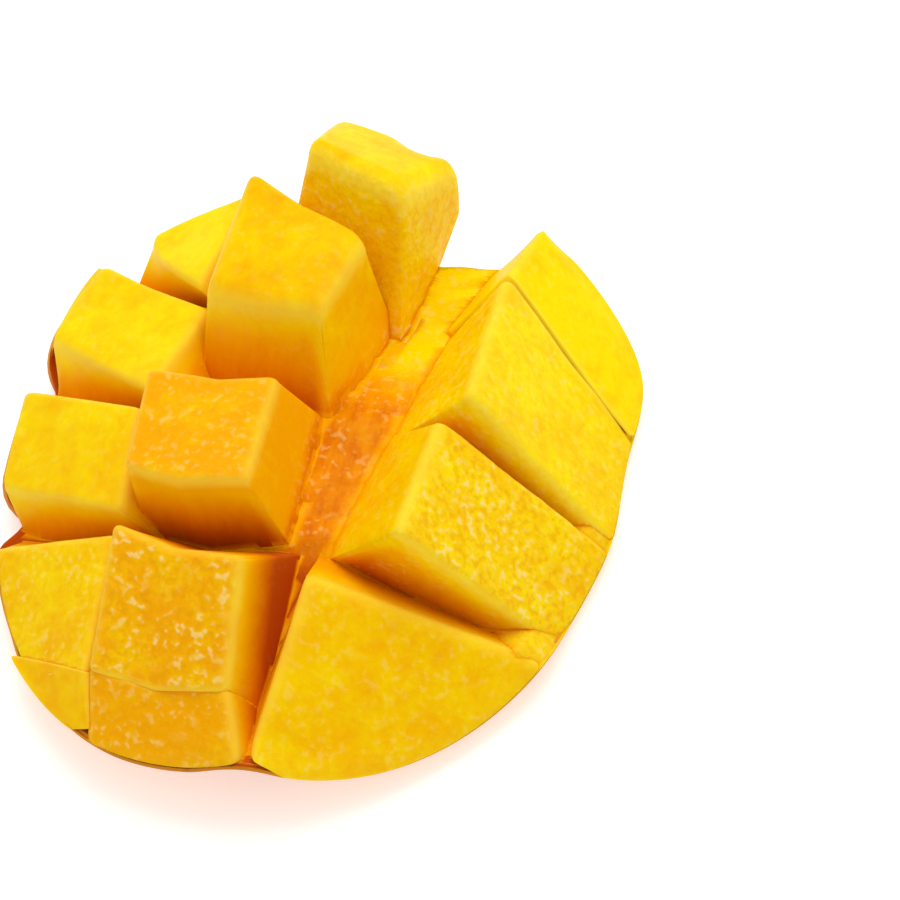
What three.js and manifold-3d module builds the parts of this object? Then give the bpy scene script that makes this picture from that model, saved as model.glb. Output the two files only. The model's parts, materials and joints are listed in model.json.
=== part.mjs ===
// A fresh mango cheek, scored into cubes and turned inside out on its peel.
// Lengths in millimetres, angles in degrees, +Z up, front tip of the cheek toward -Y.
import * as THREE from 'three';
import { mergeVertices } from 'three/addons/utils/BufferGeometryUtils.js';
import Module from 'manifold-3d';

const wasm = await Module();
wasm.setup();

// The flat cheek before it is turned: outline, middle and depth of flesh
const HALF_WIDTH = 42;
const FRONT_LENGTH = 50.5;
const BACK_LENGTH = 44.5;
const FRONT_BLUNTNESS = 2.25;
const BACK_BLUNTNESS = 4.2;
const MIDDLE = { u: -1.2, v: 2 };
const DEPTH = 19;
// How steeply the dish drops from its rim at the left and at the right: lower is steeper
const LEFT_DROP = 0.33;
const RIGHT_DROP = 0.5;
// The right side draws in around the last cut across: its place, reach and how far
const WAIST = { v: 24, before: 20, behind: 16, by: 3.5 };
// The left side swells outward as it goes down, by this much at this depth
const SWELL = 5.5;
const SWELL_DEPTH = 11;
// Peel together with the flesh left under the knife cuts
const BASE_THICKNESS = 3.2;
// Knife cuts: two along the cheek, four across it that sweep back to both sides
const CUTS_ALONG = [-16.8, 5.4];
const CUTS_ACROSS = [-38.5, -16, 5.6, 28.7];
const SWEEP_LEFT = [0.13, 0.13, 0.13, 0.13];
const SWEEP_RIGHT = [0.13, 0.13, 0.1, 0];
const SWEEP_MIDDLE = -6;
// The cuts across stop this far short of the right rim
const UNCUT_RIM = 6.5;
// Nicks where the cuts leave through the peel at the left: place, reach before and behind
const NICKS = [[-11.3, 8, 6], [10.2, 5, 8], [33.3, 5, 6]];
const NICK_DROP = 10;
// Hollows in the back rim: where a cut along runs out, and where the stem was
const HOLLOWS = [{ u: -15, width: 9, depth: 4.5 }, { u: 5, width: 10, depth: 6 }];
// Reach of the bend to each side of a cut, in the flesh and in the peel
const FLESH_BEND = 3.5;
const PEEL_BEND = 6;
// Rounding of the cubes' top edges
const EDGE_ROUND = 1.4;
// Usual width of a cube, and how much of the half width the side columns' middles count
const CUBE_WIDTH = 22;
const SIDE_REACH = 0.85;
// Where the feet of the cubes end, as a share of the way from the peel to the cut flesh
const FOOT_LEVEL = 0.45;
// How near the cubes come to the rim, and their pointed ends to the tips
const RIM_INSET = 0.985;
const TIP_INSET = 0.97;
const FOOT_INSET = 0.96;
// How far the feet spread under the cuts, as a share of the cube
const FOOT_SPREAD = 0.04;
// Small turns about X and Y that set the cheek level on its three lowest places
const LEVEL = [-2.95, 3.72, 0];
// How much the soft peel flattens where the cheek rests
const REST_FLAT = 0.7;
// Facets smaller than this are merged into their neighbours
const MERGE_BELOW = 0.05;

// The cubes by column (left, centre, right) and by rows from the front tip.
// lean: tilt to the right, tilt to the front and turn of the cube
// seat: where the peel under the middle of the cube ends up
// raise: top height at left front, left back, right front and right back
// trim: how far each of those corners is moved along u and v by uneven cuts
// round: rounding of the top edges where it isn't the usual one
const CUBES = [
  { column: 0, rows: [0], lean: [-36, 33, -3], seat: [-27.5, -43.5, -2.5],
    raise: [0, -1, 0, 0.6], trim: [[0, 0], [0, 3], [0, 0], [0, 1.8]] },
  { column: 0, rows: [1], lean: [-37, 24, -3], seat: [-24.7, -28.8, -4.5],
    raise: [0, 0, 1, -1.5], trim: [[0, -1.5], [0, -3], [0, 0.5], [1, 0]] },
  { column: 0, rows: [2], lean: [-34, 10, 0], seat: [-26.2, -6.3, -2.3],
    raise: [0, 1, -0.5, 0], trim: [[0, 4], [-0.7, -0.4], [0.5, 0], [-0.5, -4]] },
  { column: 0, rows: [3], lean: [-29, -3, -1], seat: [-27, 16, -2.7],
    raise: [0, 1, 0, -2], trim: [[0, 6], [-1.7, -1], [-0.5, -3.5], [0, -7.5]] },
  { column: 0, rows: [4], lean: [-34, -11, -2], seat: [-27.7, 34.3, -1.2],
    raise: [0, 0.5, -1.5, 1], trim: [[0, 5], [0, 0], [-1, -5.5], [-1.5, -2]] },
  { column: 1, rows: [0], lean: [-11, 37, 8], seat: [-5.2, -43.5, -1.2],
    raise: [0, -0.3, 0, 0], trim: [[-0.5, 0], [-0.5, 3.4], [2, 0], [0, 1]] },
  { column: 1, rows: [1], lean: [-15, 30, 1], seat: [-6.3, -25.8, 1.3],
    raise: [0.8, 0.5, 0, 1.5], trim: [[-0.5, 0.5], [0, 0.5], [0, 0], [0, -2.3]] },
  { column: 1, rows: [2], lean: [-17, 6, 5], seat: [-8.4, -4.6, 5],
    raise: [2.7, 0.7, 4.3, -1.5], trim: [[0.7, 2.3], [-1, -0.7], [0, -0.6], [-2.2, 0]] },
  { column: 1, rows: [3], lean: [-12, -19, -4], seat: [-8, 18, 4.6], round: 2.6,
    raise: [1, 12, 3.5, 7], trim: [[0, 4], [-0.7, 0.5], [-0.6, 2.5], [0, -4]] },
  { column: 1, rows: [4], lean: [-7, -26, -9], seat: [-3.7, 37.5, 2.2], round: 3.2,
    raise: [15.5, 13, 13, 10.6], trim: [[3.7, 1.3], [0.6, 0.6], [0, 0], [1.6, -1.8]] },
  { column: 2, rows: [0, 1], lean: [35, 28, 4], seat: [18.6, -25, -1.9],
    raise: [-1, -4.5, 0, 0], trim: [[0, 0], [-4.7, -3.8], [0, 0], [0, -1.2]] },
  { column: 2, rows: [2], lean: [42, 9, -2], seat: [19.7, -4, 2],
    raise: [4.4, 0, 0, 0], trim: [[-1, 0], [-1.6, 0], [0, 1], [0, -1]] },
  { column: 2, rows: [3], lean: [42.4, -5.4, -8], seat: [22, 16.8, 1.3],
    raise: [3.6, 0, 0, 0], trim: [[-1, -0.7], [-3, 4.2], [0, -0.3], [0, -1.8]] },
  { column: 2, rows: [4], lean: [37, -5, -5], seat: [25, 38, 0.9],
    raise: [1.3, 1.5, 0, 0], trim: [[-1.1, 4.2], [0.9, 0], [0, -4.6], [0, 0]] },
];

const lerp = (a, b, t) => a + (b - a) * t;
const clamp = (x, a, b) => Math.min(b, Math.max(a, x));
const smooth = (x) => { const t = clamp(x, 0, 1); return t * t * (3 - 2 * t); };
const radians = THREE.MathUtils.degToRad;

// What the length at v and the width at u use up and leave of the cheek's outline
function lengthUsed(v) {
  const d = v - MIDDLE.v;
  return d < 0 ? (-d / FRONT_LENGTH) ** FRONT_BLUNTNESS : (d / BACK_LENGTH) ** BACK_BLUNTNESS;
}

function halfWidth(v, side) {
  const drawn = smooth((v - WAIST.v) / WAIST.before + 1) - smooth((v - WAIST.v) / WAIST.behind);
  return side > 0 ? HALF_WIDTH - WAIST.by * drawn : HALF_WIDTH;
}

function widthLeft(u, half = HALF_WIDTH) {
  return Math.max(1 - ((u - MIDDLE.u) / half) ** 2, 0);
}

function fleshDepth(u, v) {
  const drop = lerp(LEFT_DROP, RIGHT_DROP, smooth((u - MIDDLE.u) / HALF_WIDTH + 0.8));
  const left = widthLeft(u, halfWidth(v, u - MIDDLE.u)) - lengthUsed(v);
  return DEPTH * Math.max(left, 0) ** drop;
}

// The rim to one side at v, running in at the nicks on the left unless they are left out
function rimU(v, side, nicked = true) {
  let reach = halfWidth(v, side) * Math.sqrt(Math.max(1 - lengthUsed(v), 0));
  for (const [middle, before, behind] of side < 0 && nicked ? NICKS : []) {
    const away = v < middle ? (middle - v) / before : (v - middle) / behind;
    const drop = NICK_DROP * smooth(1 - away);
    reach -= HALF_WIDTH * (1 - Math.sqrt(1 - (drop / DEPTH) ** (1 / LEFT_DROP)));
  }
  return MIDDLE.u + side * reach;
}

function rimV(u, side) {
  return side < 0 ? MIDDLE.v - FRONT_LENGTH * widthLeft(u) ** (1 / FRONT_BLUNTNESS)
    : MIDDLE.v + BACK_LENGTH * widthLeft(u) ** (1 / BACK_BLUNTNESS);
}

// How far the hollows run in from the back rim at u
function hollowAt(u) {
  return HOLLOWS.reduce((total, { u: middle, width, depth }) => {
    const inside = clamp(1 - ((u - middle) / (width / 2)) ** 2, 0, 1);
    return total + depth * Math.sqrt(inside);
  }, 0);
}

// Where cut k across the cheek runs at u
function crossCut(k, u) {
  const sweep = u < SWEEP_MIDDLE ? SWEEP_LEFT[k] : SWEEP_RIGHT[k];
  return CUTS_ACROSS[k] + sweep * Math.abs(u - SWEEP_MIDDLE);
}

// Gentle unevenness of ripe flesh, the same at every run
function unevenness(x, y, seed) {
  return Math.sin(x * 0.61 + seed * 1.7) * Math.cos(y * 0.53 - seed)
    + 0.6 * Math.sin(x * 1.13 - y * 0.97 + seed * 2.3);
}

// Middle of each cube in the flat cheek, and the move that turns it inside out
function cubeMiddle(column, row) {
  const u = [
    (MIDDLE.u - SIDE_REACH * HALF_WIDTH + CUTS_ALONG[0]) / 2,
    (CUTS_ALONG[0] + CUTS_ALONG[1]) / 2,
    (CUTS_ALONG[1] + MIDDLE.u + SIDE_REACH * HALF_WIDTH) / 2,
  ][column];
  const front = row === 0 ? rimV(u, -1) : CUTS_ACROSS[row - 1];
  const back = row === 4 ? rimV(u, 1) : CUTS_ACROSS[row];
  const v = (front + back) / 2;
  return [u, v, -DEPTH * Math.sqrt(widthLeft(u) - lengthUsed(v))];
}

const moves = CUBES.map((cube) => {
  const middle = cubeMiddle(cube.column, cube.rows.at(-1));
  const [right, front, turn] = cube.lean.map(radians);
  const spin = new THREE.Matrix4().makeRotationFromEuler(
    new THREE.Euler(front, right, turn, 'YXZ'));
  const seat = new THREE.Matrix4().makeTranslation(...cube.seat);
  const toMiddle = new THREE.Matrix4().makeTranslation(...middle.map((x) => -x));
  return seat.multiply(spin).multiply(toMiddle);
});

// Where a point of the flat cheek ends up with one cube, swollen outward at the left
function carried(number, u, v, z) {
  const shallower = 1 - clamp(-z / SWELL_DEPTH, 0, 1);
  const side = smooth((1.6 * (MIDDLE.u - u)) / HALF_WIDTH - 0.6);
  return new THREE.Vector3(u - SWELL * (1 - shallower ** 2) * side, v, z)
    .applyMatrix4(moves[number]);
}

// Where a point of the sheet ends up, as a blend of what the cubes do to it
function bent(u, v, z, [shareOfColumn, shareOfRow]) {
  const sum = new THREE.Vector3();
  CUBES.forEach((cube, i) => {
    const along = cube.rows.reduce((total, row) => total + shareOfRow(row, u, v), 0);
    const share = shareOfColumn(cube.column, u, v) * along;
    if (share > 0) {
      sum.addScaledVector(carried(i, u, v, z), share);
    }
  });
  return sum;
}

// Share of a column or a row in the bend, easing over reach to each side of its cuts
function easing(count, past) {
  return (index, u, v) => (index === 0 ? 1 : past(index - 1, u, v))
    - (index === count ? 0 : past(index, u, v));
}

const columnShare = (reach) => easing(CUTS_ALONG.length,
  (k, u) => smooth((u - CUTS_ALONG[k] + reach) / (2 * reach)));
const rowShare = (reach) => easing(CUTS_ACROSS.length,
  (k, u, v) => smooth((v - crossCut(k, u) + reach) / (2 * reach)));

// Closed solid from a grid of points on top and one below it, joined around the edge
function solidFromGrids(top, levels) {
  const rows = top.length, columns = top[0].length;
  const position = [], index = [];
  const ring = [];
  for (let i = 0; i < columns - 1; i++) ring.push([0, i]);
  for (let j = 0; j < rows - 1; j++) ring.push([j, columns - 1]);
  for (let i = columns - 1; i > 0; i--) ring.push([rows - 1, i]);
  for (let j = rows - 1; j > 0; j--) ring.push([j, 0]);
  const grids = [top, ...levels];
  const last = grids.length - 1;
  grids.forEach((grid) => grid.flat().forEach((p) => position.push(p.x, p.y, p.z)));
  const at = (g, [j, i]) => g * rows * columns + j * columns + i;
  for (let j = 0; j < rows - 1; j++) {
    for (let i = 0; i < columns - 1; i++) {
      const [a, b, c, d] = [[j, i], [j, i + 1], [j + 1, i + 1], [j + 1, i]];
      index.push(at(0, a), at(0, b), at(0, c), at(0, a), at(0, c), at(0, d));
      index.push(at(last, a), at(last, c), at(last, b), at(last, a), at(last, d), at(last, c));
    }
  }
  for (let g = 0; g < last; g++) {
    ring.forEach((a, k) => {
      const b = ring[(k + 1) % ring.length];
      index.push(at(g, a), at(g + 1, b), at(g, b), at(g, a), at(g + 1, a), at(g + 1, b));
    });
  }
  return manifoldOf(position, index);
}

function manifoldOf(position, index) {
  const raw = new THREE.BufferGeometry();
  raw.setAttribute('position', new THREE.Float32BufferAttribute(position, 3));
  raw.setIndex(index);
  const merged = mergeVertices(raw, 1e-4);
  const old = merged.index.array, kept = [];
  for (let k = 0; k < old.length; k += 3) {
    const [a, b, c] = [old[k], old[k + 1], old[k + 2]];
    if (a !== b && b !== c && c !== a) kept.push(a, b, c);
  }
  return new wasm.Manifold(new wasm.Mesh({
    numProp: 3,
    vertProperties: new Float32Array(merged.attributes.position.array),
    triVerts: new Uint32Array(kept),
  }));
}

// The bent base sheet: its outer face is the peel, its inner face the cut flesh
const flesh = [columnShare(FLESH_BEND), rowShare(FLESH_BEND)];
const peel = [columnShare(PEEL_BEND), rowShare(PEEL_BEND)];

function outerFace(u, v) {
  return bent(u, v, -fleshDepth(u, v), peel);
}

function innerFace(u, v) {
  const depth = fleshDepth(u, v);
  const toRim = smooth((UNCUT_RIM + 2 - (rimU(v, 1) - u)) / 4) * smooth((v + 26) / 6);
  const cover = BASE_THICKNESS + 0.35 * unevenness(u * 2.1, v * 2.3, 4);
  const brim = -Math.min(0.4, 0.15 * depth);
  return bent(u, v, lerp(Math.min(brim, -depth + cover), brim, toRim), flesh);
}

// Middle of the base sheet, a little nearer the peel
function insideSheet(u, v) {
  const depth = fleshDepth(u, v);
  const inner = bent(u, v, Math.min(-0.2 * depth, -depth + BASE_THICKNESS), flesh);
  return outerFace(u, v).lerp(inner, FOOT_LEVEL);
}

function baseSheet() {
  const outside = [], inside = [];
  const rows = 33, columns = 24;
  const places = [...Array(rows + 1).keys()].map((j) => {
    const t = -Math.cos((Math.PI * j) / rows);
    return MIDDLE.v + (t < 0 ? t * FRONT_LENGTH : t * BACK_LENGTH);
  });
  for (const v of places.concat(NICKS.map(([place]) => place)).sort((a, b) => a - b)) {
    const back = smooth((v - MIDDLE.v - 0.55 * BACK_LENGTH) / (0.45 * BACK_LENGTH));
    const across = [...Array(columns + 1).keys()].map((i) => {
      const s = Math.sin(Math.PI * (i / columns - 0.5));
      const u = lerp(MIDDLE.u, rimU(v, Math.sign(s)), Math.abs(s));
      return [u, v - hollowAt(u) * back];
    });
    outside.push(across.map((place) => outerFace(...place)));
    inside.push(across.map((place) => innerFace(...place)));
  }
  return solidFromGrids(inside, [outside]);
}

// Point inside the base sheet straight above or below a point, found step by step
function footing(point, u, v) {
  const step = 0.05;
  for (let k = 0; k < 6; k++) {
    const here = insideSheet(u, v);
    const du = insideSheet(u + step, v).sub(here).divideScalar(step);
    const dv = insideSheet(u, v + step).sub(here).divideScalar(step);
    const [x, y] = [point.x - here.x, point.y - here.y];
    const area = du.x * dv.y - du.y * dv.x;
    u += clamp((x * dv.y - y * dv.x) / area, -3, 3);
    v += clamp((y * du.x - x * du.y) / area, -3, 3);
    v = clamp(v, lerp(MIDDLE.v, rimV(u, -1), FOOT_INSET),
      lerp(MIDDLE.v, rimV(u, 1), FOOT_INSET) - hollowAt(u));
    u = clamp(u, lerp(MIDDLE.u, rimU(v, -1), FOOT_INSET), lerp(MIDDLE.u, rimU(v, 1), FOOT_INSET));
  }
  return insideSheet(u, v);
}

// Plan of a cube: s runs from its left to its right wall and t from its front to its back
function cubePlan(cube, s, t, trimmed) {
  const { column } = cube;
  const [first, last] = [cube.rows[0], cube.rows.at(-1)];
  const trim = cube.trim.map((corner) => corner.map((by) => (trimmed ? by : 0)));
  const leftBy = lerp(trim[0][0], trim[1][0], t), rightBy = lerp(trim[2][0], trim[3][0], t);
  const inner = column === 0 ? CUTS_ALONG[0] : CUTS_ALONG[1];
  const across = lerp([-30, CUTS_ALONG[0] + leftBy, inner][column],
    [inner, CUTS_ALONG[1] + rightBy, 30][column], s);
  const rimAt = column === 1 ? across : inner;
  const inset = column === 1 ? RIM_INSET : TIP_INSET;
  const front = first === 0 ? lerp(MIDDLE.v, rimV(rimAt, -1), inset)
    : crossCut(first - 1, across) + lerp(trim[0][1], trim[2][1], s);
  const back = last === 4 ? lerp(MIDDLE.v, rimV(rimAt, 1), inset)
    : crossCut(last, across) + lerp(trim[1][1], trim[3][1], s);
  const v = lerp(front, back, t);
  const left = column === 0 ? lerp(MIDDLE.u, rimU(v, -1, !trimmed), RIM_INSET)
    : CUTS_ALONG[column - 1];
  const right = column === 2 ? lerp(MIDDLE.u, rimU(v, 1), RIM_INSET) : CUTS_ALONG[column];
  return [lerp(left + leftBy, right + rightBy, s), v];
}

// One cube: rounded uneven top, straight cut walls, foot sunk into the base sheet
function cubeSolid(cube, number) {
  const { column, raise, round = EDGE_ROUND } = cube;
  const steps = [0, 0.018, 0.06, 0.2, 0.4, 0.6, 0.8, 0.94, 0.982, 1];
  const [left, right] = [column > 0, column < 2];
  const [front, back] = [cube.rows[0] > 0, cube.rows.at(-1) < 4];
  const edgeDrop = (s, low, high) => {
    const distance = Math.min(low ? s : 1, high ? 1 - s : 1) * CUBE_WIDTH;
    const x = clamp(1 - distance / round, 0, 1);
    return round * (1 - Math.sqrt(1 - x * x));
  };
  const top = steps.map((t) => steps.map((s) => {
    const [u, v] = cubePlan(cube, s, t, true);
    const raised = lerp(lerp(raise[0], raise[2], s), lerp(raise[1], raise[3], s), t);
    const inland = smooth((fleshDepth(u, v) - 3) / 6);
    return carried(number, u, v, (raised + 0.25 * unevenness(u, v, number)) * inland
      - edgeDrop(s, left, right) - edgeDrop(t, front, back));
  }));
  const spread = (s, low, high) => lerp(low ? -FOOT_SPREAD : 0, high ? 1 + FOOT_SPREAD : 1, s);
  const foot = steps.map((t) => steps.map((s) => {
    const [u, v] = cubePlan(cube, spread(s, left, right), spread(t, front, back), false);
    return footing(carried(number, u, v, BASE_THICKNESS - fleshDepth(u, v)), u, v);
  }));
  return solidFromGrids(top, [foot]);
}

function meshOf(manifold) {
  const { vertProperties, triVerts } = manifold.getMesh();
  const geometry = new THREE.BufferGeometry();
  geometry.setAttribute('position', new THREE.Float32BufferAttribute(vertProperties, 3));
  geometry.setIndex(new THREE.Uint32BufferAttribute(triVerts, 1));
  return geometry;
}

let cheek = baseSheet();
CUBES.forEach((cube, i) => { cheek = cheek.add(cubeSolid(cube, i)); });
cheek = cheek.rotate(LEVEL);

// Flatten the lowest places of the peel, then stand the cheek on them at the origin
const low = cheek.boundingBox().min[2];
const below = new THREE.BoxGeometry(200, 200, 20).translate(0, 0, low + REST_FLAT - 10);
cheek = cheek.subtract(manifoldOf(
  [...below.attributes.position.array], [...below.index.array])).simplify(MERGE_BELOW);

// Keep the cheek alone, without the specks of space shut in where its pieces meet
cheek = cheek.decompose().reduce((a, b) => (b.volume() > a.volume() ? b : a));

const geometry = meshOf(cheek);
geometry.computeBoundingBox();
const box = geometry.boundingBox;
geometry.translate(-(box.min.x + box.max.x) / 2, -(box.min.y + box.max.y) / 2, -box.min.z);
geometry.computeVertexNormals();

const ripe = new THREE.MeshStandardMaterial({ color: 0xf2a81c, roughness: 0.4, metalness: 0 });
const mesh = new THREE.Mesh(geometry, ripe);
mesh.name = 'mango_cheek';
const group = new THREE.Group();
group.name = 'mango_chunk';
group.add(mesh);

export default group;
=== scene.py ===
# A fresh mango cheek, scored into cubes and turned inside out on its peel.
import json
import math

import bpy
import numpy as np
from mathutils import Matrix, Vector

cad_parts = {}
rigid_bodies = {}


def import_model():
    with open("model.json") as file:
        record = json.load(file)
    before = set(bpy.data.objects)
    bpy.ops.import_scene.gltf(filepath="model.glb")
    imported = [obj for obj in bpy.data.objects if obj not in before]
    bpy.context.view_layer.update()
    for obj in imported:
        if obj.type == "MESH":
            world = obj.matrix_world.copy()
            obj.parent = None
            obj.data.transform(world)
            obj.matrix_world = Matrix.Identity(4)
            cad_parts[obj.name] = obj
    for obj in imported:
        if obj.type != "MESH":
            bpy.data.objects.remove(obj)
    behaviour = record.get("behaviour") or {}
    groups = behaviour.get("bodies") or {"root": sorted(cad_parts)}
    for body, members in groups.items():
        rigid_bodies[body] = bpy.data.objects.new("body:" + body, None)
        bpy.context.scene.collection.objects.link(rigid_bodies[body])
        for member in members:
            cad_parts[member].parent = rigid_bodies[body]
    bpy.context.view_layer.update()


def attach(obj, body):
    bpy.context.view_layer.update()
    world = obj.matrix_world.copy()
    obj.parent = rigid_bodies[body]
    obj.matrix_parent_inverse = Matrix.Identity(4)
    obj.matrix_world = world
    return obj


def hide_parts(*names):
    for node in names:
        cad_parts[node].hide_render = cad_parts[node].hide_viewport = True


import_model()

# The cheek before it is turned: one side of a ripe mango cut off beside the stone, a dish
# of soft flesh in a thin peel. It is worked out flat, in millimetres, cut face at height 0.
HALF_WIDTH = 42
FRONT_LENGTH = 50.5
BACK_LENGTH = 44.5
FRONT_BLUNTNESS = 2.25
BACK_BLUNTNESS = 4.2
MIDDLE_U = -1.2
MIDDLE_V = 2
DEPTH = 19
# How steeply the dish drops from its rim at the left and at the right, where lower is
# steeper, and how far left of the middle the change begins, as a share of the half width
LEFT_DROP = 0.33
RIGHT_DROP = 0.5
DROP_CHANGE = 0.8
# Where the cuts leave through the peel at the left: place and reach before and behind
NICKS = ((-11.3, 8, 6), (10.2, 5, 8), (33.3, 5, 6))
NICK_DROP = 10
# The right side draws in around the last cut across: its place, reach and how far
WAIST = dict(v=24, before=20, behind=16, by=3.5)
# The left side swells outward as it goes down, by this much at this depth. The swelling
# eases in towards the rim: the rate times the share of the half width, less the start.
SWELL = 5.5
SWELL_DEPTH = 11
SWELL_RATE = 1.6
SWELL_START = 0.6


def smooth(x):
    """Eases from 0 to 1 as x goes from 0 to 1."""
    x = np.clip(x, 0, 1)
    return x * x * (3 - 2 * x)


def lerp(a, b, t):
    """The point a share t of the way from a to b."""
    return a + (b - a) * t


def half_width(v, side):
    """Half the width at v, drawn in on the right as two eases around the waist say."""
    past = v - WAIST["v"]
    drawn = smooth(past / WAIST["before"] + 1) - smooth(past / WAIST["behind"])
    return HALF_WIDTH - WAIST["by"] * drawn * (side > 0)


def width_left(u, half=HALF_WIDTH):
    """One less the square of the distance from the middle over the half width."""
    return np.maximum(1 - ((u - MIDDLE_U) / half) ** 2, 0)


def length_used(v):
    """Distance from the middle over that end's length, to the power of its bluntness."""
    along = np.abs(v - MIDDLE_V)
    return np.where(v < MIDDLE_V, (along / FRONT_LENGTH) ** FRONT_BLUNTNESS,
                    (along / BACK_LENGTH) ** BACK_BLUNTNESS)


def flesh_depth(u, v):
    """DEPTH times what the width leaves, less what the length has used, to the power of
    the drop on that side."""
    drop = lerp(LEFT_DROP, RIGHT_DROP, smooth((u - MIDDLE_U) / HALF_WIDTH + DROP_CHANGE))
    left = width_left(u, half_width(v, u - MIDDLE_U)) - length_used(v)
    return DEPTH * np.maximum(left, 0) ** drop


def rim_u(v, side, nicked=True):
    """The half width times the root of what the length at v leaves, to that side. On the
    left it runs in at each cut, as far as the dish's side does down to the nick's drop."""
    reach = half_width(v, side) * np.sqrt(np.maximum(1 - length_used(v), 0))
    if side < 0 and nicked:
        for middle, before, behind in NICKS:
            away = np.where(v < middle, (middle - v) / before, (v - middle) / behind)
            drop = NICK_DROP * smooth(1 - away)
            reach = reach - HALF_WIDTH * (1 - np.sqrt(1 - (drop / DEPTH) ** (1 / LEFT_DROP)))
    return MIDDLE_U + side * reach


def rim_v(u, side):
    """The end's length times what the width at u leaves, to one over the bluntness."""
    left = width_left(u)
    if side < 0:
        return MIDDLE_V - FRONT_LENGTH * left ** (1 / FRONT_BLUNTNESS)
    return MIDDLE_V + BACK_LENGTH * left ** (1 / BACK_BLUNTNESS)


# The cuts and the turn: a knife scores the flesh twice along and four times across, down
# to the peel, and the cheek is pushed out from below so that the cubes lean apart.
CUTS_ALONG = (-16.8, 5.4)
CUTS_ACROSS = (-38.5, -16, 5.6, 28.7)
# How far each cut across sweeps back for each millimetre to the left and to the right
SWEEP_LEFT = (0.13, 0.13, 0.13, 0.13)
SWEEP_RIGHT = (0.13, 0.13, 0.1, 0)
SWEEP_MIDDLE = -6
# The outer cubes are taken to reach this share of the half width
SIDE_REACH = 0.85
# The tilt about X and Y that rests the turned cheek level, and how it is then set down
LEVEL = (-2.95, 3.72)
STAND = (1.055, -2.325, 5.108)
# Each cube's column and rows, its lean to the right and to the front and its turn, the
# seat of the peel under it, and how far its top is raised and its plan trimmed at its left
# front, left back, right front and right back corner
CUBES = [
    dict(column=0, rows=[0], lean=(-36, 33, -3), seat=(-27.1, -43.5, -2.5),
         lift=(0, -1, 0, 0.6), trim=((0, 0), (0, 3), (1.3, 0), (1.3, 1.8))),
    dict(column=0, rows=[1], lean=(-37, 24, -3), seat=(-23.8, -28.8, -4.5),
         lift=(0, 0, 1, -1.5), trim=((0, -1.5), (0, -3), (0, 0.5), (1, 0))),
    dict(column=0, rows=[2], lean=(-34, 10, 0), seat=(-25.4, -6.3, -2.3),
         lift=(0, 1, -0.5, 0), trim=((0, 4), (-0.7, -0.4), (0.5, 0), (-0.5, -4))),
    dict(column=0, rows=[3], lean=(-29, -3, -1), seat=(-27, 16, -2.7),
         lift=(0, 1, 0, -2), trim=((0, 6), (-1.7, -1), (-0.5, -3.5), (0, -7.5))),
    dict(column=0, rows=[4], lean=(-34, -11, -2), seat=(-27.7, 34.3, -1.2),
         lift=(0, 0.5, -1.5, 1), trim=((0, 5), (0, 0), (-1, -5.5), (-1.5, -2))),
    dict(column=1, rows=[0], lean=(-11, 37, 8), seat=(-5.2, -43.5, -1.2),
         lift=(0, -0.3, 0, 0), trim=((-0.5, 0), (-0.5, 3.4), (2, 0), (0, 1))),
    dict(column=1, rows=[1], lean=(-15, 30, 1), seat=(-6.3, -25.8, 1.3),
         lift=(0.8, 0.5, 0, 1.5), trim=((-0.5, 0.5), (0, 0.5), (0, 0), (0, -2.3))),
    dict(column=1, rows=[2], lean=(-17, 6, 5), seat=(-8.4, -4.6, 5),
         lift=(2.7, 0.7, 4.3, -1.5), trim=((0.7, 2.3), (-1, -0.7), (0, -0.6), (-2.2, 0))),
    dict(column=1, rows=[3], lean=(-12, -19, -4), seat=(-8, 18, 4.6),
         lift=(1, 12, 3.5, 7), trim=((0, 4), (-0.7, 0.5), (-0.6, 2.5), (0, -4))),
    dict(column=1, rows=[4], lean=(-7, -26, -9), seat=(-3.7, 37.5, 2.2),
         lift=(15.5, 13, 13, 10.6), trim=((3.7, 1.3), (0.6, 0.6), (0, 0), (1.6, -1.8))),
    dict(column=2, rows=[0, 1], lean=(35, 28, 4), seat=(18.6, -25, -1.9),
         lift=(-1, -4.5, 0, 0), trim=((0, 0), (-4.7, -3.8), (0, 0), (0, -1.2))),
    dict(column=2, rows=[2], lean=(42, 9, -2), seat=(19.7, -4, 2),
         lift=(4.4, 0, 0, 0), trim=((-1, 0), (-1.6, 0), (0, 1), (0, -1))),
    dict(column=2, rows=[3], lean=(42.4, -5.4, -8), seat=(22, 16.8, 1.3),
         lift=(3.6, 0, 0, 0), trim=((-1, -0.7), (-3, 4.2), (0, -0.3), (0, -1.8))),
    dict(column=2, rows=[4], lean=(37, -5, -5), seat=(25, 38, 0.9),
         lift=(1.3, 1.5, 0, 0), trim=((-1.1, 4.2), (0.9, 0), (0, -4.6), (0, 0))),
]


def turn(axis, degrees):
    """A rotation about one axis as a numpy array."""
    return np.array(Matrix.Rotation(math.radians(degrees), 3, axis))


def cube_middle(cube):
    """Middle of the cube's last row in the flat cheek, halfway between its cuts or rims."""
    low, high = MIDDLE_U - SIDE_REACH * HALF_WIDTH, MIDDLE_U + SIDE_REACH * HALF_WIDTH
    edges = (low, *CUTS_ALONG, high)
    u = (edges[cube["column"]] + edges[cube["column"] + 1]) / 2
    ends = (rim_v(u, -1), *CUTS_ACROSS, rim_v(u, 1))
    v = (ends[cube["rows"][-1]] + ends[cube["rows"][-1] + 1]) / 2
    return np.array([u, v, -DEPTH * np.sqrt(width_left(u) - length_used(v))])


for cube in CUBES:
    right, front, about = cube["lean"]
    cube["spin"] = turn("Y", right) @ turn("X", front) @ turn("Z", about)
    cube["middle"] = cube_middle(cube)


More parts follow.
